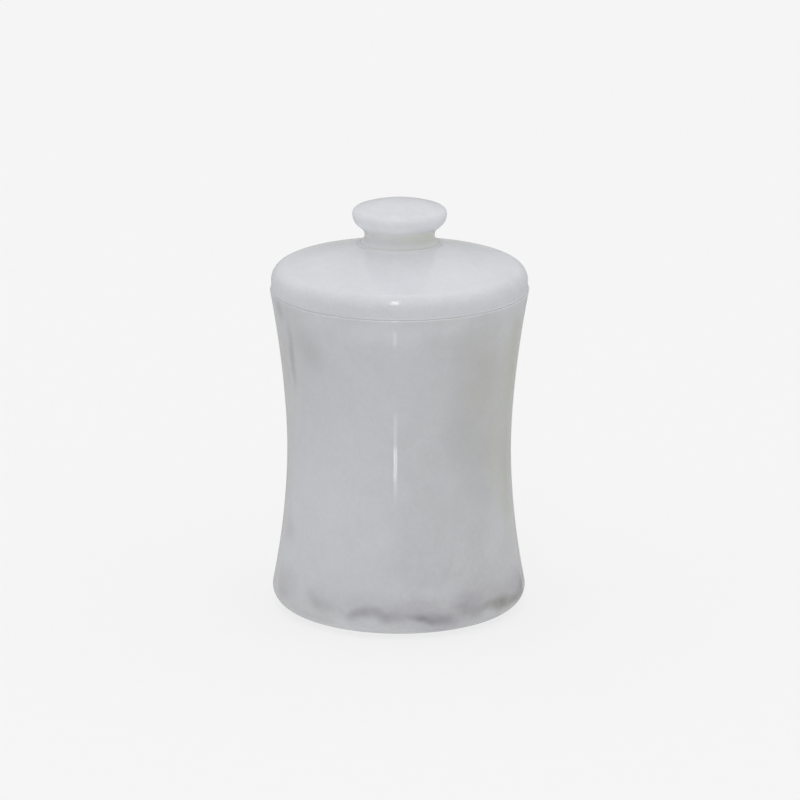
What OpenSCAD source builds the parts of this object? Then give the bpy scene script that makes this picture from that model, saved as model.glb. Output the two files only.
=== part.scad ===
// Waisted stone vanity jar with a lift-off lid and a turned knob.
// Every stone piece is turned on one axis, so each is a profile swept about Z.
// Millimetres, +Z up, origin on the jar's axis in the plane that the foot pads stand on.

/* [Jar body] */
// Diameter at the rim, the widest part of the body
rim_d = 100; // [90:1:110]
// Diameter at the waist
waist_d = 87.3; // [84:0.1:92]
// Height of the stone body, underside to rim
body_h = 126.2; // [115:0.1:140]
// Height of the waist above the underside
waist_h = 63.2; // [55:0.1:72]
// Diameter that the lower flare would reach at the underside, before its edge is rounded
foot_d = 102; // [96:0.5:106]
// How quickly the wall flares above the waist, 2 being a parabola
rim_flare = 1.74; // [1.5:0.01:2.5]
// How quickly the wall flares below the waist
foot_flare = 1.89; // [1.5:0.01:2.5]
// Height of the rounded edge at the foot
foot_edge_h = 7.5; // [3:0.1:12]
// Radius of the rim's outer edge
rim_edge_r = 0.8; // [0.4:0.1:2]

/* [Well] */
// Diameter of the straight bore
bore_d = 74; // [66:1:76]
// Thickness of the stone floor
floor_t = 10; // [7:0.5:16]
// Radius of the corner between floor and wall
well_corner_r = 6; // [2:0.5:10]
// Radius of the rim's inner edge
mouth_edge_r = 0.8; // [0.3:0.1:1.5]

/* [Lid] */
// How much smaller the lid is than the rim, across its diameter
lid_step = 0.8; // [0:0.1:1.5]
// Height of the lid's upright band
band_h = 3.4; // [2:0.1:6]
// Radius of the lid's shoulder
shoulder_r = 5.7; // [3:0.1:7]
// Slope of the lid's top where it leaves the shoulder, in degrees
top_slope_out = 11; // [8:0.5:14]
// Slope of the lid's top where it meets the knob, in degrees
top_slope_in = 22.8; // [18:0.1:26]
// Radius of the lid's lower edge
lid_edge_r = 0.2; // [0.2:0.1:0.8]
// Depth of the plug that centres the lid in the bore
plug_h = 6; // [4:0.5:9]
// Clearance between plug and bore, all round
plug_gap = 0.6; // [0.4:0.1:1.2]
// Radius of the plug's lower edge
plug_edge_r = 1; // [0.5:0.1:2]
// Diameter of the shallow hollow under the plug
dish_d = 58; // [40:1:60]
// Depth of that hollow
dish_h = 4.5; // [2:0.5:5]

/* [Knob] */
// Diameter of the knob's foot
knob_foot_d = 30.8; // [28:0.1:34]
// Height of the sharp edge round the foot
foot_lip_h = 0.1; // [0.1:0.05:0.6]
// Radius of the sweep from the foot up to the neck
neck_low_r = 3; // [2:0.1:4]
// Radius of the sweep from the neck out to the head
neck_high_r = 4; // [3:0.1:5]
// Angle that the underside of the head leans out from upright, in degrees
head_lean = 49.5; // [35:0.5:60]
// Length of the straight stretch on that underside
head_flat = 1.8; // [0.5:0.1:3]
// Radius of the head's lower curve
head_low_r = 5.5; // [4:0.1:7]
// Radius of the head's upper edge
head_top_r = 2.5; // [1.5:0.1:3.5]
// Slope of the domed top at its edge, in degrees
dome_slope = 19.5; // [10:0.5:25]

/* [Knob fixing] */
// Diameter of the steel dowel
dowel_d = 4; // [3:0.5:6]
// Length of the dowel
dowel_l = 18; // [12:1:19]
// Clearance round the dowel
dowel_gap = 0.05; // [0.02:0.01:0.1]
// Thickness of the white epoxy bed under the knob
glue_t = 0.15; // [0.1:0.05:0.3]
// Width of the wiped fillet of epoxy round the knob's foot
fillet_w = 0.8; // [0.4:0.1:1.2]

/* [Foot pads] */
// Diameter of a clear bumper
pad_d = 10; // [8:0.5:14]
// Height of a bumper
pad_h = 1.2; // [0.8:0.1:2]
// Radius of the circle on which the bumpers sit
pad_ring_r = 30; // [22:1:34]

/* [Hidden] */
$fn = 180;

// Points on each rounded edge, and on each long flare
edge_steps = 12;
flare_steps = 40;

// Turned radii
rim_r = rim_d / 2;
waist_r = waist_d / 2;
foot_r = foot_d / 2;
bore_r = bore_d / 2;
lid_r = rim_r - lid_step / 2;
knob_foot_r = knob_foot_d / 2;

// Heights of the joint between body and lid, and of the well's floor
seam_z = pad_h + body_h;
floor_z = pad_h + floor_t;

// The foot's rounded edge ends where it is tangent to the lower flare
foot_tilt = atan((foot_r - waist_r) * foot_flare / waist_h
    * pow(1 - foot_edge_h / waist_h, foot_flare - 1));
foot_edge_r = foot_edge_h / (1 + sin(foot_tilt));
foot_edge_start_r = wall_r(foot_edge_h) - foot_edge_r * cos(foot_tilt);

// The rim's rounded edge starts where the upper flare has this tilt
rim_tilt = atan((rim_r - waist_r) * rim_flare / (body_h - waist_h));
rim_edge_h = rim_edge_r * (1 + sin(rim_tilt));

// Lid heights: the shoulder's end, then the seat that the knob stands on
shoulder_end_r = lid_r - shoulder_r * (1 - sin(top_slope_out));
shoulder_end_z = seam_z + band_h + shoulder_r * cos(top_slope_out);
top_sweep_r = (shoulder_end_r - knob_foot_r) / (sin(top_slope_in) - sin(top_slope_out));
seat_z = shoulder_end_z + top_sweep_r * (cos(top_slope_out) - cos(top_slope_in));
plug_r = bore_r - plug_gap;
plug_z = seam_z - plug_h;
dish_sphere_r = (pow(dish_d / 2, 2) + pow(dish_h, 2)) / (2 * dish_h);

// Knob: it stands on the epoxy bed
knob_z = seat_z + glue_t;
dowel_z = seat_z + glue_t / 2 - dowel_l / 2;
hole_r = dowel_d / 2 + dowel_gap;
hole_spare = 0.5;

// Radius of the outer wall at a height above the stone's underside
function wall_r(h) = h < waist_h
    ? waist_r + (foot_r - waist_r) * pow(1 - h / waist_h, foot_flare)
    : waist_r + (rim_r - waist_r)
        * pow((h - waist_h) / (body_h - rim_edge_h - waist_h), rim_flare);

// Points of an arc of radius r from point p, turning from heading a to heading b.
// Heading 0 points away from the axis and heading 90 points up.
function turn(p, a, b, r) = [
    for (i = [0 : edge_steps])
        let (h = a + (b - a) * i / edge_steps)
        p + sign(b - a) * r * [sin(h) - sin(a), cos(a) - cos(h)]
];

// The last point of a list
function end(points) = points[len(points) - 1];

// The jar's outer wall, from the underside to the rim's land
function body_outline() =
    let (
        foot = turn([foot_edge_start_r, 0], 0, 90 + foot_tilt, foot_edge_r),
        wall_top = body_h - rim_edge_h,
        wall = [
            for (i = [1 : flare_steps])
                let (h = foot_edge_h + (wall_top - foot_edge_h) * i / flare_steps)
                [wall_r(h), h]
        ],
        rim = turn(end(wall), 90 - rim_tilt, 180, rim_edge_r)
    )
    concat([[0, 0]], foot, wall, rim);

// The well, from the mouth's rounded edge down to the floor's centre
function well_outline() = concat(
    turn([bore_r + mouth_edge_r, body_h], 180, 270, mouth_edge_r),
    turn([bore_r, floor_t + well_corner_r], 270, 180, well_corner_r),
    [[0, floor_t]]
);

// The lid, from the plug's underside out, up the band and in over the top
function lid_outline() =
    let (
        plug = turn([plug_r - plug_edge_r, plug_z], 0, 90, plug_edge_r),
        edge = turn([lid_r - lid_edge_r, seam_z], 0, 90, lid_edge_r),
        shoulder = turn([lid_r, seam_z + band_h], 90, 180 - top_slope_out, shoulder_r),
        top = turn(end(shoulder), 180 - top_slope_out, 180 - top_slope_in, top_sweep_r)
    )
    concat([[0, plug_z]], plug, [[plug_r, seam_z]], edge, shoulder, top, [[0, seat_z]]);

// The point on the lid's top that lies a short way w out from the knob's foot
function lid_top_point(w) =
    let (
        outline = lid_outline(),
        n = len(outline),
        seat = outline[n - 2],
        away = outline[n - 3] - seat
    )
    seat + away * w / away[0];

// The knob, from its foot up the neck and over the head
function knob_outline() =
    let (
        low = turn([knob_foot_r, knob_z + foot_lip_h], 180 - top_slope_in, 90, neck_low_r),
        high = turn(end(low), 90, 90 - head_lean, neck_high_r),
        flat = end(high) + head_flat * [sin(head_lean), cos(head_lean)],
        under = turn(flat, 90 - head_lean, 90, head_low_r),
        over = turn(end(under), 90, 180 - dome_slope, head_top_r),
        dome_r = end(over)[0] / sin(dome_slope),
        dome = turn(end(over), 180 - dome_slope, 180, dome_r)
    )
    concat([[0, knob_z], [knob_foot_r, knob_z]], low, high, [flat], under, over, dome);

module turned(points) {
    rotate_extrude() polygon(points);
}

module jar_body() {
    color("#e6e8ec")
    translate([0, 0, pad_h])
    turned(concat(body_outline(), well_outline()));
}

module lid() {
    color("#eceef1")
    difference() {
        turned(lid_outline());
        translate([0, 0, plug_z + dish_h - dish_sphere_r]) sphere(r = dish_sphere_r);
        translate([0, 0, dowel_z - hole_spare]) cylinder(r = hole_r, h = dowel_l);
    }
}

module knob() {
    color("#eceef1")
    difference() {
        turned(knob_outline());
        translate([0, 0, dowel_z]) cylinder(r = hole_r, h = dowel_l + hole_spare);
    }
}

module knob_dowel() {
    color("#b9bdc2")
    translate([0, 0, dowel_z]) cylinder(d = dowel_d, h = dowel_l);
}

// The epoxy bed, with a fillet that runs from the knob's lip down onto the lid's top
module knob_adhesive() {
    color("#e2e2df")
    turned(concat(
        [[hole_r, seat_z], [knob_foot_r, seat_z]],
        [lid_top_point(fillet_w)],
        [[knob_foot_r, knob_z + foot_lip_h], [knob_foot_r, knob_z], [hole_r, knob_z]]
    ));
}

// A low bumper with a rounded lower edge, one in each quarter of the base
module foot_pad(quarter) {
    pad_r = pad_d / 2;
    edge_r = pad_h * 0.6;
    color("#dfe5e8")
    rotate(quarter * 90 - 45)
    translate([pad_ring_r, 0, 0])
    turned(concat(
        [[0, 0]],
        turn([pad_r - edge_r, 0], 0, 90, edge_r),
        [[pad_r, pad_h], [0, pad_h]]
    ));
}

jar_body();
lid();
knob();
knob_dowel();
knob_adhesive();
foot_pad(1);  // foot_pad_1
foot_pad(2);  // foot_pad_2
foot_pad(3);  // foot_pad_3
foot_pad(4);  // foot_pad_4
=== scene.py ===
import math

import bpy
import numpy as np
from mathutils import Matrix, Quaternion, Vector, noise

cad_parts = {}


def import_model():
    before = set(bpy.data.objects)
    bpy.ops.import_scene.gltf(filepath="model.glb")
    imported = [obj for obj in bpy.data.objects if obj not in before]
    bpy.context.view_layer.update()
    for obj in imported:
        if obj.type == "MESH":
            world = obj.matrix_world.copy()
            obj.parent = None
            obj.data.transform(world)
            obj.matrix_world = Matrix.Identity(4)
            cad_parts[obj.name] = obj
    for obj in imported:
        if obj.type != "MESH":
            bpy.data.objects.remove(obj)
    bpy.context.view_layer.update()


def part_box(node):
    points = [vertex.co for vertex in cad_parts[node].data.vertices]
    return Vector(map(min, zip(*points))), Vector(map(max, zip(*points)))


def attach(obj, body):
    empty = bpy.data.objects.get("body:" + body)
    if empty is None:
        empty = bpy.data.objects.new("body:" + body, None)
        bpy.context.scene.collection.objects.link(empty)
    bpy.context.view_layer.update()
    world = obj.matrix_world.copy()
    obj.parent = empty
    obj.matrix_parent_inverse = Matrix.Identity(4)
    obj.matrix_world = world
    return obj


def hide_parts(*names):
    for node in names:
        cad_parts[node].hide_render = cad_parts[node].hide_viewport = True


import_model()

MM = 0.001

# ---------------------------------------------------------------- places, from the frame
BODY_LOW, BODY_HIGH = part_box("jar_body")
LID_LOW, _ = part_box("lid")
KNOB_LOW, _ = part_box("knob")
DOWEL_LOW, DOWEL_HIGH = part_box("knob_dowel")
GLUE_LOW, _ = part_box("knob_adhesive")

FOOT_Z = BODY_LOW.z
SEAM_Z = BODY_HIGH.z
BODY_H = SEAM_Z - FOOT_Z
KNOB_Z = KNOB_LOW.z
GLUE_T = 0.15 * MM
SEAT_Z = KNOB_Z - GLUE_T
PLUG_Z = LID_LOW.z

# ---------------------------------------------------------------- turned shapes
# The same sizes as the CAD model's, so that each stone fills its own CAD part.
# Jar body
RIM_R = 50 * MM
WAIST_R = 43.65 * MM
WAIST_H = 63.2 * MM
FOOT_R = 51 * MM
RIM_FLARE = 1.74
FOOT_FLARE = 1.89
FOOT_EDGE_H = 7.5 * MM
RIM_EDGE_R = 0.8 * MM
BORE_R = 37 * MM
FLOOR_T = 10 * MM
WELL_CORNER_R = 6 * MM
MOUTH_EDGE_R = 0.8 * MM
# Lid
LID_R = 49.6 * MM
BAND_H = 3.4 * MM
SHOULDER_R = 5.7 * MM
TOP_SLOPE_OUT = 11
TOP_SLOPE_IN = 22.8
LID_EDGE_R = 0.2 * MM
PLUG_R = BORE_R - 0.6 * MM
PLUG_EDGE_R = 1 * MM
DISH_R = 29 * MM
DISH_H = 4.5 * MM
# Knob
KNOB_FOOT_R = 15.4 * MM
FOOT_LIP_H = 0.1 * MM
FOOT_LIP_R = 0.05 * MM
NECK_LOW_R = 3 * MM
NECK_HIGH_R = 4 * MM
HEAD_LEAN = 49.5
HEAD_FLAT = 1.8 * MM
HEAD_LOW_R = 5.5 * MM
HEAD_TOP_R = 2.5 * MM
DOME_SLOPE = 19.5
HOLE_R = 2.05 * MM
HOLE_SPARE = 0.5 * MM
# Epoxy fillet round the knob's foot
FILLET_W = 0.8 * MM
FILLET_SAG = 0.03 * MM      # how far it is hollowed
FILLET_STEPS = 8
# Dowel and pads
DOWEL_CHAMFER = 0.35 * MM
PAD_LOW_EDGE = 0.6          # radius of a pad's lower edge, as a share of its height
PAD_TOP_EDGE = 0.1          # and of its upper edge

STONE_SEGMENTS = 320        # facets round a piece
RING_SEGMENTS = 192
PAD_SEGMENTS = 96
PIN_SEGMENTS = 64
RING_STEP = 1.2 * MM        # the widest gap between two rings
SAME_PLACE = 1e-7           # points closer than this are one, and a radius below it is on the axis
HAND_WOBBLE = 0.015 * MM    # how far hand turning strays from a true circle
WOBBLE_SCALE = 24.0         # wobble waves per metre
WOBBLE_SEED = 5             # without a seed, noise_vector changes from run to run
CRISP_SIDE = -20            # degrees from +X to where the seam's eased edges are sharpest
CRISP_MIDDLE = 0.44         # share of its full radius that an eased edge has on average
CRISP_SWING = 0.38          # how much that share changes between the sharpest and the softest side

POLISHED, HONED = 0, 1      # the finishes of a stone, as the order of its materials


def turn(p, a, b, r, steps=10):
    """An arc of radius r from p, from heading a to heading b: 0 points outward and 90 up."""
    start = math.radians(a)
    signed_r = math.copysign(r, b - a)
    out = []
    for i in range(steps + 1):
        h = math.radians(a + (b - a) * i / steps)
        out.append((p[0] + signed_r * (math.sin(h) - math.sin(start)),
                    p[1] + signed_r * (math.cos(start) - math.cos(h))))
    return out


def flare_tilt(span, power, height, at=1.0):
    """How far, in degrees, a flare leans from upright where it has covered the share at."""
    return math.degrees(math.atan(span * power / height * at ** (power - 1)))


RIM_TILT = flare_tilt(RIM_R - WAIST_R, RIM_FLARE, BODY_H - WAIST_H)
RIM_EDGE_H = RIM_EDGE_R * (1 + math.sin(math.radians(RIM_TILT)))
FOOT_TILT = flare_tilt(FOOT_R - WAIST_R, FOOT_FLARE, WAIST_H, 1 - FOOT_EDGE_H / WAIST_H)
FOOT_EDGE_R = FOOT_EDGE_H / (1 + math.sin(math.radians(FOOT_TILT)))


def wall_radius(h):
    """Radius of the outer wall at height h above the stone's underside."""
    if h < WAIST_H:
        return WAIST_R + (FOOT_R - WAIST_R) * (1 - h / WAIST_H) ** FOOT_FLARE
    top = BODY_H - RIM_EDGE_H - WAIST_H
    return WAIST_R + (RIM_R - WAIST_R) * ((h - WAIST_H) / top) ** RIM_FLARE


def body_outline():
    """Height of its zero, and [(points, finish)] from the underside's centre to the well's floor."""
    start = wall_radius(FOOT_EDGE_H) - FOOT_EDGE_R * math.cos(math.radians(FOOT_TILT))
    foot = turn((start, 0), 0, 90 + FOOT_TILT, FOOT_EDGE_R, 28)
    top = BODY_H - RIM_EDGE_H
    heights = np.linspace(FOOT_EDGE_H, top, 110)
    wall = [(wall_radius(h), h) for h in heights]
    rim = turn(wall[-1], 90 - RIM_TILT, 180, RIM_EDGE_R, 14)
    mouth = turn((BORE_R + MOUTH_EDGE_R, BODY_H), 180, 270, MOUTH_EDGE_R, 10)
    corner = turn((BORE_R, FLOOR_T + WELL_CORNER_R), 270, 180, WELL_CORNER_R, 16)
    return FOOT_Z, [([(0, 0)], HONED), (foot + wall + rim, POLISHED), (mouth, POLISHED),
                    (corner + [(0, FLOOR_T)], HONED)]


def lid_outline():
    """The lid, from the middle of the hollow under it round to the seat on top."""
    sphere = (DISH_R ** 2 + DISH_H ** 2) / (2 * DISH_H)
    rim = math.degrees(math.asin(DISH_R / sphere))
    plug = PLUG_Z - SEAM_Z
    dish = turn((0, plug + DISH_H), 0, -rim, sphere, 24)
    low = turn((PLUG_R - PLUG_EDGE_R, plug), 0, 90, PLUG_EDGE_R, 10)
    edge = turn((LID_R - LID_EDGE_R, 0), 0, 90, LID_EDGE_R, 8)
    shoulder = turn((LID_R, BAND_H), 90, 180 - TOP_SLOPE_OUT, SHOULDER_R, 32)
    sweep = ((shoulder[-1][0] - KNOB_FOOT_R)
             / (math.sin(math.radians(TOP_SLOPE_IN)) - math.sin(math.radians(TOP_SLOPE_OUT))))
    top = turn(shoulder[-1], 180 - TOP_SLOPE_OUT, 180 - TOP_SLOPE_IN, sweep, 40)
    seat = top[-1][1]
    hole = DOWEL_LOW.z - SEAM_Z - HOLE_SPARE
    return SEAM_Z, [(dish + low + [(PLUG_R, 0)], HONED), (edge + shoulder + top, POLISHED),
                    ([(HOLE_R, seat), (HOLE_R, hole), (0, hole)], HONED)]


def knob_outline():
    """The knob, from the dowel's hole out over the foot, up the neck and over the head."""
    lip = turn((KNOB_FOOT_R, FOOT_LIP_H - FOOT_LIP_R), 90, 180 - TOP_SLOPE_IN, FOOT_LIP_R, 5)
    low = turn(lip[-1], 180 - TOP_SLOPE_IN, 90, NECK_LOW_R, 16)
    high = turn(low[-1], 90, 90 - HEAD_LEAN, NECK_HIGH_R, 16)
    lean = math.radians(HEAD_LEAN)
    flat = (high[-1][0] + HEAD_FLAT * math.sin(lean), high[-1][1] + HEAD_FLAT * math.cos(lean))
    under = turn(flat, 90 - HEAD_LEAN, 90, HEAD_LOW_R, 18)
    over = turn(under[-1], 90, 180 - DOME_SLOPE, HEAD_TOP_R, 18)
    dome_r = over[-1][0] / math.sin(math.radians(DOME_SLOPE))
    dome = turn(over[-1], 180 - DOME_SLOPE, 180, dome_r, 24)
    hole = DOWEL_HIGH.z - KNOB_Z + HOLE_SPARE
    return KNOB_Z, [([(0, hole), (HOLE_R, hole), (HOLE_R, 0), (KNOB_FOOT_R, 0)], HONED),
                    (lip + low + high + under + over + dome, POLISHED)]


# ---------------------------------------------------------------- lathe
def densify(parts):
    """Outline points no further apart than RING_STEP, as [(r, z, finish of the ring's far side)]."""
    points = []
    for run, finish in parts:
        for r, z in run:
            if points:
                r0, z0, _ = points[-1]
                gap = math.hypot(r - r0, z - z0)
                if gap < SAME_PLACE:
                    continue
                n = max(1, math.ceil(gap / RING_STEP))
                for i in range(1, n):
                    points.append((r0 + (r - r0) * i / n, z0 + (z - z0) * i / n, finish))
            points.append((max(r, 0.0), z, finish))
    return points


def stray(co):
    """The small smooth wander of a shape that was turned and polished by hand."""
    p = Vector(co) * WOBBLE_SCALE
    return Vector(noise.noise_vector(p)) * HAND_WOBBLE


def crispness(angle):
    """How much of its full radius a hand-eased edge has at an angle round the jar, in radians."""
    right = math.cos(angle - math.radians(CRISP_SIDE))
    return CRISP_MIDDLE - CRISP_SWING * right


def add_piece(name, verts, faces, finishes, materials, body, node):
    """A smooth-shaded piece that rides on a body and stands for a CAD node."""
    mesh = bpy.data.meshes.new(name)
    mesh.from_pydata(verts, [], faces)
    mesh.polygons.foreach_set("material_index", finishes)
    mesh.polygons.foreach_set("use_smooth", [True] * len(faces))
    for material in materials:
        mesh.materials.append(material)
    mesh.update()
    mesh.validate()
    piece = bpy.data.objects.new(name, mesh)
    bpy.context.scene.collection.objects.link(piece)
    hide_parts(node)
    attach(piece, body)
    return piece


def lathe(name, base_z, parts, body, node, materials, segments=STONE_SEGMENTS, wander=True,
          corner=None):
    """A closed mesh turned about Z from an outline that starts and ends on the axis.

    corner is (r, z, reach, share): the rounded edge within reach of it is drawn in towards that corner,
    to a share of its radius, and more so on one side of the jar.
    """
    ring_points = densify(parts)
    verts, faces, finishes, rings = [], [], [], []
    for r, z, _ in ring_points:
        if r < SAME_PLACE:
            rings.append([len(verts)])
            verts.append((0.0, 0.0, base_z + z))
            continue
        rings.append(list(range(len(verts), len(verts) + segments)))
        near = corner and math.hypot(r - corner[0], z - corner[1]) < corner[2]
        for i in range(segments):
            a = 2 * math.pi * i / segments
            ri, zi = r, z
            if near:
                k = corner[3] * crispness(a)
                ri, zi = corner[0] + (r - corner[0]) * k, corner[1] + (z - corner[1]) * k
            verts.append((ri * math.cos(a), ri * math.sin(a), base_z + zi))
    if wander:
        verts = [tuple(Vector(v) + stray(v)) for v in verts]
    for k in range(1, len(rings)):
        a, b = rings[k - 1], rings[k]
        finish = ring_points[k][2]
        for i in range(segments):
            j = (i + 1) % segments
            if len(a) == 1:
                face = (a[0], b[j], b[i])
            elif len(b) == 1:
                face = (a[i], a[j], b[0])
            else:
                face = (a[i], a[j], b[j], b[i])
            faces.append(face)
            finishes.append(finish)
    return add_piece(name, verts, faces, finishes, materials, body, node)


def ring(name, base_z, outline, body, node, material):
    """A closed ring about Z from an outline that doesn't touch the axis."""
    segments = RING_SEGMENTS
    verts, faces = [], []
    for r, z in outline:
        for i in range(segments):
            a = 2 * math.pi * i / segments
            verts.append((r * math.cos(a), r * math.sin(a), base_z + z))
    n = len(outline)
    for k in range(n):
        m = (k + 1) % n
        for i in range(segments):
            j = (i + 1) % segments
            faces.append((k * segments + i, k * segments + j, m * segments + j, m * segments + i))
    add_piece(name, verts, faces, [0] * len(faces), [material], body, node)


# ---------------------------------------------------------------- shader helpers
class Tree:
    """A small helper that adds nodes to one material and links them."""

    def __init__(self, name):
        self.mat = bpy.data.materials.new(name)
        self.mat.use_nodes = True
        self.nodes = self.mat.node_tree.nodes
        self.links = self.mat.node_tree.links
        self.shader = self.nodes["Principled BSDF"]

    def put(self, socket, value):
        if isinstance(value, bpy.types.NodeSocket):
            self.links.new(value, socket)
        else:
            socket.default_value = value

    def node(self, kind, inputs=None, out=0, **settings):
        n = self.nodes.new(kind)
        for key, value in settings.items():
            setattr(n, key, value)
        for key, value in (inputs or {}).items():
            self.put(n.inputs[key], value)
        return n.outputs[out]

    def math(self, operation, a, b=0.0, c=0.0, clamp=False):
        return self.node("ShaderNodeMath", {0: a, 1: b, 2: c}, operation=operation, use_clamp=clamp)

    def vector(self, operation, a, b, **kwargs):
        return self.node("ShaderNodeVectorMath", {0: a, 1: b}, operation=operation, **kwargs)

    def scale(self, vector, factor):
        return self.node("ShaderNodeVectorMath", {0: vector, "Scale": factor}, operation="SCALE")

    def axes(self, vector):
        """The x, y and z of a vector."""
        return self.node("ShaderNodeSeparateXYZ", {0: vector}).node.outputs

    def grey(self, value):
        return self.node("ShaderNodeCombineColor", {0: value, 1: value, 2: value})

    def object_position(self):
        return self.node("ShaderNodeTexCoord", out="Object")

    def ramp(self, value, low, high, to_low=0.0, to_high=1.0):
        """value from low..high carried smoothly to to_low..to_high."""
        return self.node("ShaderNodeMapRange",
                         {"Value": value, "From Min": low, "From Max": high,
                          "To Min": to_low, "To Max": to_high},
                         interpolation_type="SMOOTHSTEP")

    def noise(self, vector, scale, detail=3.0, roughness=0.5, distortion=0.0, out="Fac"):
        return self.node("ShaderNodeTexNoise",
                         {"Vector": vector, "Scale": scale, "Detail": detail,
                          "Roughness": roughness, "Distortion": distortion}, out=out)

    def mix(self, factor, a, b, blend="MIX"):
        n = self.nodes.new("ShaderNodeMix")
        n.data_type = "RGBA"
        n.blend_type = blend
        self.put(n.inputs[0], factor)
        self.put(n.inputs[6], a)
        self.put(n.inputs[7], b)
        return n.outputs[2]

    def bump(self, height, strength, distance):
        return self.node("ShaderNodeBump",
                         {"Height": height, "Strength": strength, "Distance": distance})


def rgb(r, g, b):
    return (r, g, b, 1.0)


# ---------------------------------------------------------------- marble
STONE_WHITE = rgb(0.640, 0.652, 0.684)
STONE_CLOUD = rgb(0.590, 0.600, 0.622)
BODY_SHADE = rgb(0.922, 0.916, 0.902)    # the body's stone is slightly greyer than its lid's
STONE_BLUE = rgb(0.580, 0.590, 0.620)
STONE_GREEN = rgb(0.480, 0.492, 0.430)
STONE_GREY = rgb(0.470, 0.470, 0.470)
VEIN_MAUVE = rgb(0.330, 0.315, 0.355)
VEIN_DARK = rgb(0.155, 0.145, 0.165)
VEIN_OLIVE = rgb(0.150, 0.150, 0.115)
# paler stone, and painted light under the seam and at the foot
PALE_STONE_AND_PAINTED_LIGHT = rgb(0.652, 0.658, 0.676)
CLOUD_SHARE = 0.55
WISP_SHARE = 0.10
MARBLE_IOR = 1.49
SUBSURFACE_SHARE = 0.6
SUBSURFACE_REACH = 1.8 * MM
SUBSURFACE_BY_COLOUR = (1.0, 0.95, 0.85)
POLISHED_ROUGHNESS = 0.055
HONED_ROUGHNESS = 0.52
HONED_RINGS = 1.4                        # height of the tool's rings against the stone's own grain
NECK_PAINTED_LIGHT_LEFT = rgb(0.850, 0.852, 0.840)     # painted light: the knob is paler below its head, where the head shades it, and warmer to the right
NECK_PAINTED_LIGHT_RIGHT = rgb(0.780, 0.788, 0.690)
HEAD_UNDER_PAINTED_LIGHT = rgb(0.860, 0.868, 0.895)    # painted light on the underside of the head, on the left
# painted light on the edge of the head
HEAD_EDGE_PAINTED_LIGHT = rgb(0.760, 0.772, 0.808)
# Where that painted light fades, as heights over the knob's foot or places from left to right
NECK_RISE = (0.6 * MM, 6.0 * MM)
NECK_END = (11.0 * MM, 14.5 * MM)
NECK_TURNS_WARM = (-8.0 * MM, 12.0 * MM)
UNDER_TURNS_DARK = (-2.0 * MM, 10.0 * MM)
UNDER_END = (8.0 * MM, 11.0 * MM)
HEAD_START = (4.5 * MM, 8.5 * MM)
# Waves that bend a figure: (noise scale, how far in mm, noise detail)
NECK_WAVES = [(60.0, 6.0, 3.0)]
TONE_WAVES = [(28.0, 12.0, 3.0), (120.0, 2.5, 3.0)]
VEIN_WAVES = [(60.0, 2.2, 2.0), (260.0, 0.8, 3.0)]

# Tones, veins and marks on the body's wall; the notes on the tables below tell which are painted light
# or a painted reflection. Each mark is a soft ellipse on the wall: degrees round from the front (right
# is positive), height in mm, half length and half thickness in mm, tilt in degrees (rising to the
# right), strength. None reaches round to 180, where the degrees jump to -180.
BLUE_TONES = [
    (-40, 56, 26, 30, 0, 0.9), (-8, 30, 20, 18, 0, 0.5), (-30, 88, 18, 22, 0, 0.35),
    (128, 60, 16, 34, 0, 0.7), (-132, 80, 15, 26, 0, 0.6),
]
# Rows 1, 4 and 5 are painted light: a paler band just under the seam, and paler bands at the foot,
# where the shade near the floor falls. The rest are paler stone.
PALE_TONES_AND_PAINTED_LIGHT = [
    (0, 122, 34, 5, 0, 0.60), (-38, 46, 24, 26, 0, 0.42), (-10, 76, 14, 24, 0, 0.30),
    (-34, 2.5, 26, 3.2, 0, 0.70), (34, 1.5, 24, 2.5, 0, 0.12), (140, 46, 14, 28, 0, 0.40),
]
# The first three grey rows and the first four green rows make the right of the front darker and
# greener.
GREY_TONES = [
    (42, 72, 13, 34, 4, 0.56), (40, 108, 9, 12, 0, 0.42), (32, 84, 20, 44, 0, 0.24),
    (-58, 108, 16, 18, 0, 0.32), (56, 16, 26, 15, 0, 0.30), (-60, 8, 20, 10, 0, 0.20),
    (100, 70, 20, 40, 0, 0.6), (-105, 50, 16, 30, 0, 0.5), (150, 95, 9, 22, 0, 0.35),
]
GREEN_TONES = [
    (70, 98, 9, 20, 0, 0.9), (72, 58, 8, 22, 0, 0.7), (60, 66, 9, 18, 0, 0.45),
    (48, 100, 11, 20, 0, 0.35), (-80, 95, 9, 22, 0, 0.3), (120, 30, 16, 16, 0, 0.5),
    (-144, 30, 11, 18, 0, 0.4),
]
# The first row, a narrow upright streak on the left, is a painted reflection of something dark; the
# rest are marks in the stone.
MAUVE_MARKS_AND_PAINTED_REFLECTION = [
    (-61.5, 105, 1.8, 12, 0, 0.45), (-46, 110, 6, 8, 30, 0.20), (-69, 123, 3, 5, 0, 0.40),
    (34, 11.2, 7, 4.0, -6, 0.36), (36, 16, 8, 4, 5, 0.07), (-66, 12, 8, 7, 0, 0.20),
    (4, 9.5, 9, 4.2, 0, 0.24), (-70, 34, 6, 5, 0, 0.20), (70, 12, 8, 6, 0, 0.25),
    (18.5, 6.6, 7.5, 2.4, -6, 0.48), (21, 2.8, 8, 2.4, 0, 0.22), (132, 88, 3, 18, 12, 0.40),
    (-128, 66, 3, 16, -10, 0.35), (152, 32, 9, 5, 15, 0.26), (-154, 106, 8, 5, -20, 0.24),
]
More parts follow.
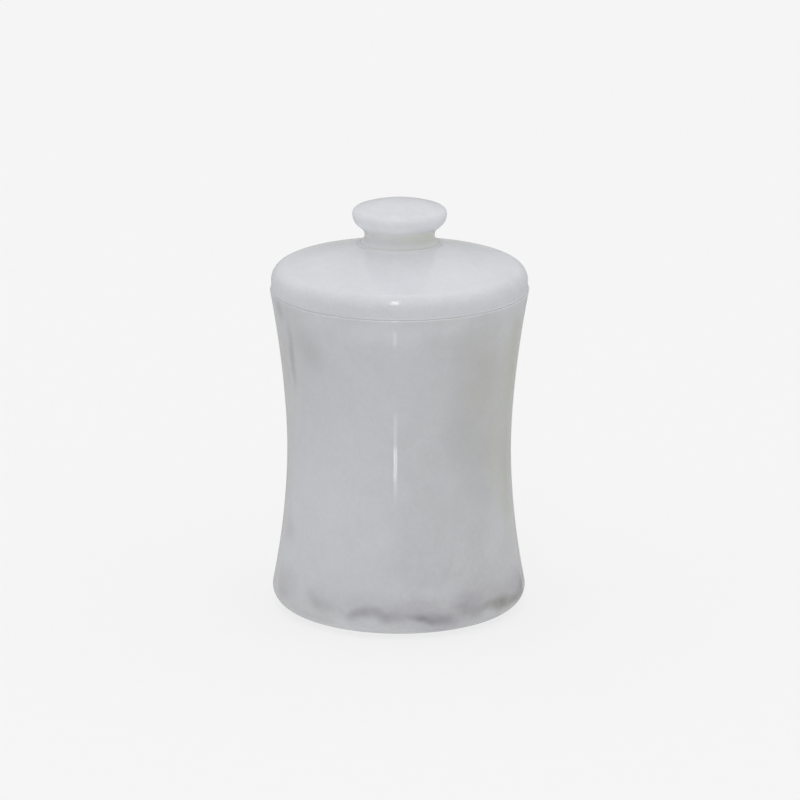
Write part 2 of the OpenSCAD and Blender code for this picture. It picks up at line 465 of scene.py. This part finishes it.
VEINS = [
    (-67.5, 8.2, 5.0, 2.2, 0, 0.16), (-44, 11.4, 4.0, 2.4, -30, 0.17), (-38, 9.6, 4.2, 2.5, -10, 0.26),
    (-28, 9.2, 5.5, 1.3, -17, 0.15), (-20, 8.2, 3.8, 1.9, 25, 0.40), (-14.5, 9.9, 4.8, 2.1, 6, 0.41),
    (-8.5, 8.9, 3.8, 1.9, -28, 0.31), (-1.5, 8.2, 5.0, 2.2, 0, 0.35), (10.8, 7.1, 4.8, 1.5, -20, 0.60),
    (20.5, 5.7, 5.5, 1.7, -4, 0.38), (33.5, 8.0, 5.5, 2.6, -12, 0.38), (45, 8.8, 5.0, 1.8, 0, 0.46),
    (54, 7.2, 6.4, 2.7, -6, 0.78), (64, 6.2, 5.6, 2.3, -6, 0.62), (72.5, 6.6, 4.4, 3.0, 0, 0.55),
    (77, 7.8, 4.6, 2.4, 85, 0.80), (90, 11.5, 8.0, 2.0, 14, 0.55), (106, 12.5, 7.0, 1.4, -8, 0.40),
    (124, 9.0, 9.0, 1.8, -16, 0.60), (144, 8.5, 8.0, 1.4, 12, 0.45), (161, 10.6, 8.0, 1.9, 4, 0.58),
    (-171, 10.0, 4.0, 1.3, -14, 0.36), (-158, 8.0, 8.0, 1.6, 6, 0.50), (-138, 9.5, 8.0, 1.3, 10, 0.35),
    (-118, 10.8, 8.0, 1.5, -8, 0.45), (-98, 9.0, 7.0, 1.6, 0, 0.35),
]
OLIVE_FROM = (14 * MM, 34 * MM)   # from left to right, where the veins turn olive

# Painted light: the stone is paler beside the seam, which lifts the shade in the groove between body
# and lid, and on the lid at the front of the knob's foot, a painted lit crescent. Both are
# assumptions.
PAINTED_LIGHT_COLOUR = rgb(0.80, 0.81, 0.83)
FULL_WITHIN = 0.3 * MM            # how near the seam or the fillet they are at their full strength
# share of the painted light on each side of the seam
SEAM_PAINTED_LIGHT = {"jar_body": 0.08, "lid": 0.80}
SEAM_REACH = 1.15 * MM
SEAM_SIDES = (-32 * MM, -4 * MM)  # left of this it has SEAM_LEFT_SHARE of its strength
SEAM_LEFT_SHARE = 0.3
CRESCENT_REACH = 1.2 * MM
CRESCENT_SHARE = 0.6
CRESCENT_FRONT = (-15 * MM, -8 * MM)

MARK_SPREAD = 1.6        # where a mark has faded out, in half sizes
HAZE_LIFT = 2.6          # mm, how far above its vein a haze is centred
HAZE_HALF_H = 5.0        # mm
HAZE_STRETCH = 1.3       # how much longer than its vein
HAZE_SHARE = 0.26        # of its vein's strength
MM_PER_DEGREE = 0.80     # along the wall


def on_wall(t, position):
    """(degrees round from the front, height in mm, 1) of a point, as one vector."""
    x, y, z = t.axes(position)
    angle = t.math("ARCTAN2", x, t.math("MULTIPLY", y, -1.0))
    degrees = t.math("MULTIPLY", angle, 180.0 / math.pi)
    height = t.math("MULTIPLY", t.math("SUBTRACT", z, FOOT_Z), 1 / MM)
    return t.node("ShaderNodeCombineXYZ", {0: degrees, 1: height, 2: 1.0})


def mark(t, place, angle, height, half_len, half_thick, tilt, strength):
    """What one soft ellipse in the stone leaves clear: 1 outside it, 1 - strength at its middle."""
    lean = math.radians(tilt)
    total = 0.0
    for half, (right, up) in ((half_len, (math.cos(lean), math.sin(lean))),
                              (half_thick, (-math.sin(lean), math.cos(lean)))):
        right *= MM_PER_DEGREE / (MARK_SPREAD * half)
        up /= MARK_SPREAD * half
        axis = (right, up, -(right * angle + up * height))
        along = t.vector("DOT_PRODUCT", place, axis, out="Value")
        total = t.math("MULTIPLY_ADD", along, along, total)
    inside = t.math("SUBTRACT", 1.0, total, clamp=True)
    return t.math("MULTIPLY_ADD", t.math("MULTIPLY", inside, inside), -strength, 1.0)


def marks(t, place, table):
    """All of a table's marks laid over each other."""
    clear = 1.0
    for row in table:
        clear = t.math("MULTIPLY", clear, mark(t, place, *row))
    return t.math("SUBTRACT", 1.0, clear)


def warped(t, position, waves):
    """position shifted by noise, wave by wave."""
    for scale, amplitude, detail in waves:
        shift = t.noise(position, scale, detail, 0.6, out="Color")
        shift = t.scale(t.vector("SUBTRACT", shift, (0.5, 0.5, 0.5)), 2 * amplitude * MM)
        position = t.vector("ADD", position, shift)
    return position


def painted_crescent_front(t, y):
    """1 at the front of the knob's foot, where a lit crescent is painted, and 0 round the rest."""
    return t.ramp(y, *CRESCENT_FRONT, 1.0, 0.0)


def add_wisps(t, block, colour):
    """Faint wisps all through the stone."""
    ridge = t.math("ABSOLUTE", t.math("SUBTRACT", t.noise(block, 17.0, 5.0, 0.62, 0.9), 0.5))
    wisp = t.math("MULTIPLY", t.ramp(ridge, 0.0, 0.045, 1.0, 0.0),
                  t.ramp(t.noise(block, 11.0, 2.0), 0.48, 0.66))
    return t.mix(t.math("MULTIPLY", wisp, WISP_SHARE), colour, VEIN_MAUVE)


def add_knob_painted_light(t, position, colour):
    """Painted light on the knob: a paler neck, warmer to the right, and a paler edge and underside of
    its head.
    """
    height = t.math("SUBTRACT", t.axes(position)[2], KNOB_Z)
    neck = t.math("MULTIPLY", t.ramp(height, *NECK_RISE, 0.35, 0.85),
                  t.ramp(height, *NECK_END, 1.0, 0.0))
    across = t.axes(warped(t, position, NECK_WAVES))[0]
    pale = t.mix(t.ramp(across, *NECK_TURNS_WARM), NECK_PAINTED_LIGHT_LEFT, NECK_PAINTED_LIGHT_RIGHT)
    under = t.math("MULTIPLY", t.ramp(across, *UNDER_TURNS_DARK, 1.0, 0.0),
                   t.ramp(height, *UNDER_END, 1.0, 0.0))
    edge = t.mix(under, HEAD_EDGE_PAINTED_LIGHT, HEAD_UNDER_PAINTED_LIGHT)
    pale = t.mix(t.ramp(height, *HEAD_START), pale, edge)
    return t.mix(neck, colour, pale)


def add_body_figure_and_painted_light(t, position, colour):
    """The body's tones, haze, marks and broken veins, some of the pale tones painted light and one mark
    a painted reflection.
    """
    soft = on_wall(t, warped(t, position, TONE_WAVES))
    fine = on_wall(t, warped(t, position, VEIN_WAVES))
    colour = t.mix(1.0, colour, BODY_SHADE, blend="MULTIPLY")
    for table, tone in ((BLUE_TONES, STONE_BLUE), (PALE_TONES_AND_PAINTED_LIGHT, PALE_STONE_AND_PAINTED_LIGHT),
                        (GREY_TONES, STONE_GREY), (GREEN_TONES, STONE_GREEN)):
        colour = t.mix(marks(t, soft, table), colour, tone)
    haze = []
    for angle, height, half_len, _, tilt, strength in VEINS:
        haze.append((angle, height + HAZE_LIFT, HAZE_STRETCH * half_len, HAZE_HALF_H, tilt,
                     HAZE_SHARE * strength))
    colour = t.mix(marks(t, fine, haze), colour, VEIN_MAUVE)
    colour = t.mix(marks(t, fine, MAUVE_MARKS_AND_PAINTED_REFLECTION), colour, VEIN_MAUVE)
    x = t.axes(position)[0]
    dark = t.mix(t.ramp(x, *OLIVE_FROM), VEIN_DARK, VEIN_OLIVE)
    broken = t.ramp(t.noise(position, 170.0, 4.0, 0.6), 0.28, 0.64, 0.50, 0.76)
    return t.mix(t.math("MULTIPLY", marks(t, fine, VEINS), broken), colour, dark)


def add_seam_painted_light(t, position, colour, share):
    """Painted light beside the seam between body and lid, lifting its shade, less of it on the left."""
    x, _, z = t.axes(position)
    off = t.math("ABSOLUTE", t.math("SUBTRACT", z, SEAM_Z))
    side = t.ramp(x, *SEAM_SIDES, SEAM_LEFT_SHARE, 1.0)
    near = t.math("MULTIPLY", t.ramp(off, FULL_WITHIN, SEAM_REACH, 1.0, 0.0), side)
    return t.mix(t.math("MULTIPLY", near, share), colour, PAINTED_LIGHT_COLOUR)


def add_painted_crescent(t, position, colour):
    """Painted light on the lid beside the fillet at the front of the knob's foot: a lit crescent."""
    y = t.axes(position)[1]
    radius = t.vector("MULTIPLY", position, (1.0, 1.0, 0.0))
    radius = t.node("ShaderNodeVectorMath", {0: radius}, out="Value", operation="LENGTH")
    off = t.math("ABSOLUTE", t.math("SUBTRACT", radius, KNOB_FOOT_R + FILLET_W))
    crescent = t.math("MULTIPLY", t.ramp(off, FULL_WITHIN, CRESCENT_REACH, 1.0, 0.0), painted_crescent_front(t, y))
    return t.mix(t.math("MULTIPLY", crescent, CRESCENT_SHARE), colour, PAINTED_LIGHT_COLOUR)


def marble(name, offset, roughness, node="", tool_marks=0.0):
    """White marble. offset moves its figure, as each piece is cut from its own block."""
    t = Tree(name)
    position = t.object_position()
    block = t.vector("ADD", position, offset)

    clouds = t.ramp(t.noise(block, 22.0, 4.0, 0.55, 0.6), 0.36, 0.68)
    mottle = t.noise(block, 95.0, 4.0, 0.6, 0.2)
    grain = t.noise(block, 1500.0, 2.0, 0.6)
    crystal = t.node("ShaderNodeTexVoronoi", {"Vector": block, "Scale": 900.0}, out="Color")
    sparkle = t.node("ShaderNodeSeparateColor", {0: crystal})

    colour = t.mix(t.math("MULTIPLY", clouds, CLOUD_SHARE), STONE_WHITE, STONE_CLOUD)
    colour = add_wisps(t, block, colour)
    if node == "knob":
        colour = add_knob_painted_light(t, position, colour)
    if node == "jar_body":
        colour = add_body_figure_and_painted_light(t, position, colour)
    if node in SEAM_PAINTED_LIGHT:
        colour = add_seam_painted_light(t, position, colour, SEAM_PAINTED_LIGHT[node])
    if node == "lid":
        colour = add_painted_crescent(t, position, colour)

    # Each multiplier varies round 1
    value = t.math("MULTIPLY_ADD", mottle, 0.10, 0.95)
    value = t.math("MULTIPLY", value, t.math("MULTIPLY_ADD", grain, 0.05, 0.975))
    value = t.math("MULTIPLY", value, t.math("MULTIPLY_ADD", sparkle, 0.03, 0.985))
    colour = t.mix(1.0, colour, t.grey(value), blend="MULTIPLY")

    rough = t.math("MULTIPLY_ADD", t.noise(block, 45.0, 4.0, 0.6), 0.03, roughness - 0.015)
    rough = t.math("MULTIPLY_ADD", sparkle, 0.015, rough)
    height = t.math("MULTIPLY_ADD", grain, 0.35, t.noise(block, 260.0, 3.0, 0.5))
    if tool_marks:
        lines = t.vector("MULTIPLY", position, (4.0, 4.0, 900.0))
        height = t.math("MULTIPLY_ADD", t.noise(lines, 1.0, 2.0, 0.6), tool_marks, height)

    s = t.shader.inputs
    t.put(s["Base Color"], colour)
    t.put(s["Roughness"], rough)
    t.put(s["Normal"], t.bump(height, 0.05, 0.05 * MM))
    s["IOR"].default_value = MARBLE_IOR
    s["Subsurface Weight"].default_value = SUBSURFACE_SHARE
    s["Subsurface Radius"].default_value = SUBSURFACE_BY_COLOUR
    s["Subsurface Scale"].default_value = SUBSURFACE_REACH
    return t.mat


# ---------------------------------------------------------------- steel, epoxy and clear pads
STEEL_DARK = rgb(0.50, 0.51, 0.53)
STEEL_LIGHT = rgb(0.68, 0.69, 0.71)
EPOXY_DARK = rgb(0.615, 0.623, 0.631)
EPOXY_LIGHT = rgb(0.660, 0.667, 0.675)
# painted light: the epoxy's lit crescent at the front
EPOXY_PAINTED_CRESCENT = rgb(0.710, 0.716, 0.724)
PAD_CLEAR = rgb(0.86, 0.90, 0.92)
PAD_SCUFFED = rgb(0.93, 0.95, 0.96)
PAD_IOR = 1.49
PAD_TRANSMISSION = 0.75


def steel(name):
    """Ground stainless steel, with fine marks round the pin."""
    t = Tree(name)
    lines = t.noise(t.vector("MULTIPLY", t.object_position(), (60.0, 60.0, 9000.0)), 1.0, 3.0, 0.6)
    colour = t.mix(lines, STEEL_DARK, STEEL_LIGHT)
    t.put(t.shader.inputs["Base Color"], colour)
    t.put(t.shader.inputs["Roughness"], t.math("MULTIPLY_ADD", lines, 0.18, 0.22))
    t.put(t.shader.inputs["Normal"], t.bump(lines, 0.2, 0.02 * MM))
    t.shader.inputs["Metallic"].default_value = 1.0
    return t.mat


def epoxy(name):
    """Cured white stone epoxy."""
    t = Tree(name)
    position = t.object_position()
    lumps = t.noise(position, 420.0, 4.0, 0.6)
    colour = t.mix(lumps, EPOXY_DARK, EPOXY_LIGHT)
    # Paler at the front: the same painted lit crescent as on the lid.
    colour = t.mix(painted_crescent_front(t, t.axes(position)[1]), colour, EPOXY_PAINTED_CRESCENT)
    t.put(t.shader.inputs["Base Color"], colour)
    t.put(t.shader.inputs["Roughness"], t.math("MULTIPLY_ADD", lumps, 0.2, 0.3))
    t.put(t.shader.inputs["Normal"], t.bump(lumps, 0.3, 0.05 * MM))
    return t.mat


def clear_pad(name):
    """Clear soft polyurethane, slightly clouded and scuffed."""
    t = Tree(name)
    scuffs = t.noise(t.object_position(), 700.0, 4.0, 0.65)
    colour = t.mix(scuffs, PAD_CLEAR, PAD_SCUFFED)
    t.put(t.shader.inputs["Base Color"], colour)
    t.put(t.shader.inputs["Roughness"], t.math("MULTIPLY_ADD", scuffs, 0.25, 0.10))
    t.put(t.shader.inputs["Normal"], t.bump(scuffs, 0.15, 0.05 * MM))
    t.shader.inputs["IOR"].default_value = PAD_IOR
    t.shader.inputs["Transmission Weight"].default_value = PAD_TRANSMISSION
    return t.mat


# ---------------------------------------------------------------- pieces
def stone_pieces():
    """The three stones: outline, body, block of marble, and the corner that an edge is drawn in to."""
    rim_corner_r = RIM_R + RIM_EDGE_H * math.tan(math.radians(RIM_TILT))
    rim_corner = (rim_corner_r, BODY_H, 1.2 * RIM_EDGE_R, 1.0)
    lid_corner = (LID_R, 0.0, 1.01 * LID_EDGE_R, 0.28)
    makers = {
        "jar_body": (body_outline, "jar", (0.0, 0.0, 0.0), rim_corner),
        "lid": (lid_outline, "lid", (0.31, -0.12, 0.27), lid_corner),
        "knob": (knob_outline, "lid", (-0.22, 0.41, 0.63), None),
    }
    for node, (outline, body, offset, corner) in makers.items():
        base_z, parts = outline()
        finishes = [
            marble("marble_polished_" + node, offset, POLISHED_ROUGHNESS, node),
            marble("marble_honed_" + node, offset, HONED_ROUGHNESS, tool_marks=HONED_RINGS),
        ]
        lathe(node + "_stone", base_z, parts, body, node, finishes, corner=corner)


def dowel():
    """The steel pin, with a chamfer at both ends."""
    r = (DOWEL_HIGH.x - DOWEL_LOW.x) / 2
    length = DOWEL_HIGH.z - DOWEL_LOW.z
    inner_r = r - DOWEL_CHAMFER
    outline = [(0, 0), (inner_r, 0), (r, DOWEL_CHAMFER), (r, length - DOWEL_CHAMFER),
               (inner_r, length), (0, length)]
    lathe("dowel_pin", DOWEL_LOW.z, [(outline, 0)], "lid", "knob_dowel",
          [steel("ground_steel")], PIN_SEGMENTS, wander=False)


def adhesive():
    """The epoxy bed under the knob, with a wiped fillet from the knob's lip down to the lid's top."""
    bed_t = KNOB_Z - SEAT_Z
    low = (KNOB_FOOT_R + FILLET_W, GLUE_LOW.z - SEAT_Z)
    high = (KNOB_FOOT_R, bed_t + FOOT_LIP_H)
    fillet = []
    for i in range(FILLET_STEPS + 1):
        u = i / FILLET_STEPS
        sag = FILLET_SAG * math.sin(math.pi * u)
        fillet.append((low[0] + (high[0] - low[0]) * u - sag, low[1] + (high[1] - low[1]) * u - sag))
    outline = [(HOLE_R, 0), (KNOB_FOOT_R, 0)] + fillet + [(KNOB_FOOT_R, bed_t), (HOLE_R, bed_t)]
    ring("adhesive_bed", SEAT_Z, outline, "lid", "knob_adhesive", epoxy("stone_epoxy"))


def pads():
    """Four bumpers under the base, each moved from the axis to its own place."""
    material = clear_pad("clear_pad")
    for i in range(1, 5):
        node = f"foot_pad_{i}"
        low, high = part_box(node)
        r = (high.x - low.x) / 2
        height = high.z - low.z
        low_edge, top_edge = PAD_LOW_EDGE * height, PAD_TOP_EDGE * height
        outline = [(0, 0)] + turn((r - low_edge, 0), 0, 90, low_edge, 10)
        outline += turn((r, height - top_edge), 90, 180, top_edge, 4) + [(0, height)]
        pad = lathe(f"bumper_{i}", low.z, [(outline, 0)], "jar", node, [material],
                    PAD_SEGMENTS, wander=False)
        pad.data.transform(Matrix.Translation(((low.x + high.x) / 2, (low.y + high.y) / 2, 0)))


noise.seed_set(WOBBLE_SEED)
stone_pieces()
dowel()
adhesive()
pads()

# ---------------------------------------------------------------- studio
FLOOR_R = 6.0
FLOOR_FACETS = 96
FLOOR_WHITE = rgb(0.16, 0.16, 0.16)      # a light table: part of its white is its own glow
FLOOR_PALER = rgb(0.17, 0.17, 0.17)
FLOOR_GLOW = 0.733
FLOOR_MIRRORED = 0.55                    # share of its brightness that polished stone reflects
SKY_HORIZON = 0.508                      # strength of the studio's light at the horizon
SKY_ZENITH = 1.365                       # and straight above
SKY_SHOWN = 0.90                         # how pale it looks when seen directly
SKY_POWER = 1.5                          # how much of that light comes from straight above
KEY_AIM = 75 * MM                        # height that the key light points at
STREAK_X = -5.3 * MM
STREAK_DISTANCE = 100 * MM
# Lamps that only reflections see: name, lowest and highest point in mm, width in mm, radiance
STREAK_STRIPS = [
    ("streak_core", 46.3, 52.6, 4.6, 4.9),
    ("streak_peak", 47.6, 50.6, 4.2, 1.6),
    ("streak_tail", 43.0, 61.5, 4.6, 1.6),
    ("streak_glint", 83.0, 87.5, 4.6, 1.9),
]


def floor():
    """A round sheet of pale paper under the jar, partly self-lit."""
    t = Tree("floor_paper")
    fibre = t.noise(t.object_position(), 90.0, 4.0, 0.6)
    white = t.mix(fibre, FLOOR_WHITE, FLOOR_PALER)
    mirrored = t.node("ShaderNodeLightPath", out="Is Glossy Ray")
    share = t.math("MULTIPLY_ADD", mirrored, FLOOR_MIRRORED - 1.0, 1.0)
    t.put(t.shader.inputs["Base Color"], t.mix(1.0, white, t.grey(share), blend="MULTIPLY"))
    t.put(t.shader.inputs["Emission Strength"], t.math("MULTIPLY", share, FLOOR_GLOW))
    t.shader.inputs["Emission Color"].default_value = rgb(1.0, 1.0, 1.0)
    t.shader.inputs["Roughness"].default_value = 0.9
    t.shader.inputs["Specular IOR Level"].default_value = 0.1
    verts = []
    for i in range(FLOOR_FACETS):
        a = 2 * math.pi * i / FLOOR_FACETS
        verts.append((FLOOR_R * math.cos(a), FLOOR_R * math.sin(a), 0.0))
    mesh = bpy.data.meshes.new("floor")
    mesh.from_pydata(verts, [], [tuple(range(FLOOR_FACETS))])
    mesh.materials.append(t.mat)
    obj = bpy.data.objects.new("floor", mesh)
    bpy.context.scene.collection.objects.link(obj)


def world():
    """A plain grey studio, brighter towards its ceiling. Seen directly it is as pale as the floor."""
    w = bpy.data.worlds.new("studio")
    bpy.context.scene.world = w
    w.use_nodes = True
    tree = w.node_tree
    links = tree.links
    back = tree.nodes["Background"]
    place = tree.nodes.new("ShaderNodeTexCoord")
    xyz = tree.nodes.new("ShaderNodeSeparateXYZ")
    links.new(place.outputs["Generated"], xyz.inputs[0])
    up = tree.nodes.new("ShaderNodeMath")
    up.operation = "MULTIPLY_ADD"
    above = tree.nodes.new("ShaderNodeMath")
    above.operation = "MAXIMUM"
    links.new(xyz.outputs[2], above.inputs[0])
    above.inputs[1].default_value = 0.0
    curve = tree.nodes.new("ShaderNodeMath")
    curve.operation = "POWER"
    links.new(above.outputs[0], curve.inputs[0])
    curve.inputs[1].default_value = SKY_POWER
    links.new(curve.outputs[0], up.inputs[0])
    up.inputs[1].default_value = SKY_ZENITH - SKY_HORIZON
    up.inputs[2].default_value = SKY_HORIZON
    links.new(up.outputs[0], back.inputs["Strength"])
    back.inputs["Color"].default_value = rgb(1.0, 1.0, 1.0)
    seen = tree.nodes.new("ShaderNodeBackground")
    seen.inputs["Color"].default_value = rgb(SKY_SHOWN, SKY_SHOWN, SKY_SHOWN)
    mix = tree.nodes.new("ShaderNodeMixShader")
    path = tree.nodes.new("ShaderNodeLightPath")
    out = tree.nodes["World Output"]
    links.new(path.outputs["Is Camera Ray"], mix.inputs[0])
    links.new(back.outputs[0], mix.inputs[1])
    links.new(seen.outputs[0], mix.inputs[2])
    links.new(mix.outputs[0], out.inputs["Surface"])


def area_lamp(name, width, height, radiance):
    """A rectangular lamp that the camera doesn't see."""
    data = bpy.data.lights.new(name, "AREA")
    data.shape = "RECTANGLE"
    data.size, data.size_y = width, height
    data.energy = radiance * math.pi * width * height
    lamp = bpy.data.objects.new(name, data)
    lamp.visible_camera = False
    bpy.context.scene.collection.objects.link(lamp)
    return lamp


def panel(name, azimuth, elevation, distance, width, height, radiance):
    """A soft light seen from the jar at azimuth (0 in front, 90 to the right) and elevation."""
    a, e = math.radians(azimuth), math.radians(elevation)
    target = Vector((0, 0, KEY_AIM))
    towards = Vector((math.sin(a) * math.cos(e), -math.cos(a) * math.cos(e), math.sin(e)))
    place = target + distance * towards
    lamp = area_lamp(name, width, height, radiance)
    lamp.location = place
    lamp.rotation_mode = "QUATERNION"
    lamp.rotation_quaternion = (place - target).to_track_quat("Z", "Y")


def streak_strip(name, low, high, width, radiance):
    """A narrow upright light close in front, for a streak down the polished wall. Sizes are in mm."""
    lamp = area_lamp(name, width * MM, (high - low) * MM, radiance)
    lamp.location = (STREAK_X, -STREAK_DISTANCE, (low + high) / 2 * MM)
    lamp.rotation_euler = (math.pi / 2, 0, 0)
    lamp.visible_diffuse = False


floor()
world()
panel("key_strip", azimuth=-5.4, elevation=56, distance=1.5, width=0.13, height=0.62, radiance=6.4)
for strip in STREAK_STRIPS:
    streak_strip(*strip)

# ---------------------------------------------------------------- camera
CAMERA_PITCH = 16.34                 # degrees down
CAMERA_DISTANCE = 1.8
CAMERA_LENS = 207.9                  # mm
CAMERA_SENSOR = 36.0                 # mm
CAMERA_ROLL = math.radians(0.12)
CAMERA_SHIFT = (0.001, 0.018)
CAMERA_CLIP = (0.05, 50.0)
AIM_HEIGHT = FOOT_Z + 75 * MM


def camera():
    """The camera, in front of the jar and looking slightly down at it."""
    pitch = math.radians(CAMERA_PITCH)
    aim = Vector((0, 0, AIM_HEIGHT))
    back = Vector((0, -math.cos(pitch), math.sin(pitch)))
    data = bpy.data.cameras.new("camera")
    data.lens = CAMERA_LENS
    data.sensor_width = CAMERA_SENSOR
    data.shift_x, data.shift_y = CAMERA_SHIFT
    data.clip_start, data.clip_end = CAMERA_CLIP
    cam = bpy.data.objects.new("camera", data)
    cam.location = aim + back * CAMERA_DISTANCE
    cam.rotation_mode = "QUATERNION"
    cam.rotation_quaternion = back.to_track_quat("Z", "Y") @ Quaternion((0, 0, 1), CAMERA_ROLL)
    bpy.context.scene.collection.objects.link(cam)
    bpy.context.scene.camera = cam


camera()
bpy.context.scene.view_settings.view_transform = "Standard"
